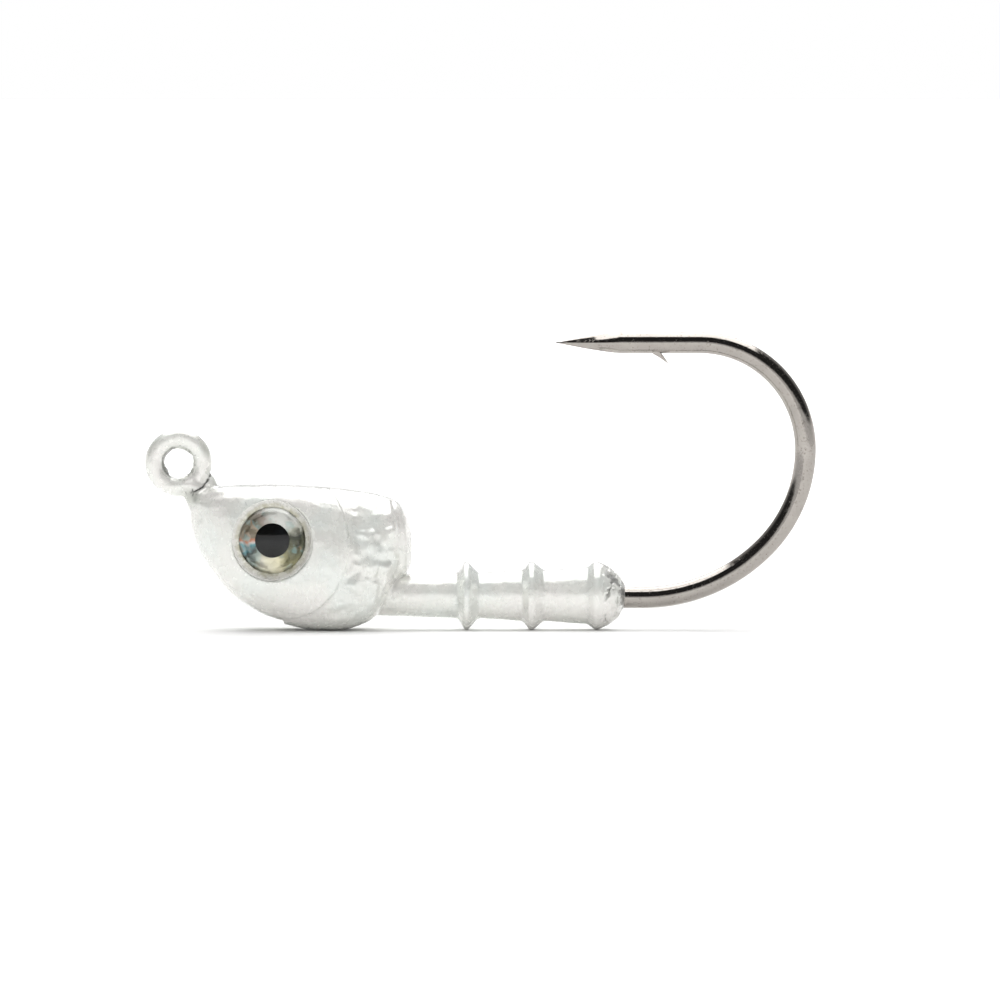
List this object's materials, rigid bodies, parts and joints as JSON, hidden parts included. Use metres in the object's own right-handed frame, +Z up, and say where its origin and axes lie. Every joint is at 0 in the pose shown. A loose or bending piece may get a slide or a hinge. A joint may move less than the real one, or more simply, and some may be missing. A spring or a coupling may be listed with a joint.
{
  "type": "jig head",
  "caption": "Fish-shaped jig head with a riser line eye, domed lure eyes, a ringed bait keeper and an upturned barbed hook.",
  "frame": {"origin": "centre of the part's footprint, on the plane that the belly and the keeper rings rest on", "axes": "+X from the line eye to the bend of the hook, +Y across the head to its right side, +Z up towards the hook point"},
  "size_m": [0.0508, 0.0092, 0.0226],
  "materials": {
    "hook_wire": "black nickel plated, bright",
    "lead": "bare cast lead, dull grey",
    "pearl_paint": "pearl white powder paint, glossy",
    "adhesive": "thin foam adhesive pad",
    "iris_foil": "holographic foil, bright",
    "pupil_ink": "black print",
    "lens_resin": "clear domed resin",
    "glue": "clear glue with small bubbles"
  },
  "bodies": {
    "root": {"hook": "hook_wire", "lead_head": "lead", "head_paint": "pearl_paint", "eye_paint": "pearl_paint", "adhesive_left": "adhesive", "iris_foil_left": "iris_foil", "pupil_left": "pupil_ink", "lens_left": "lens_resin", "glue_bead_left": "glue", "adhesive_right": "adhesive", "iris_foil_right": "iris_foil", "pupil_right": "pupil_ink", "lens_right": "lens_resin", "glue_bead_right": "glue"}
  },
  "joints": []
}
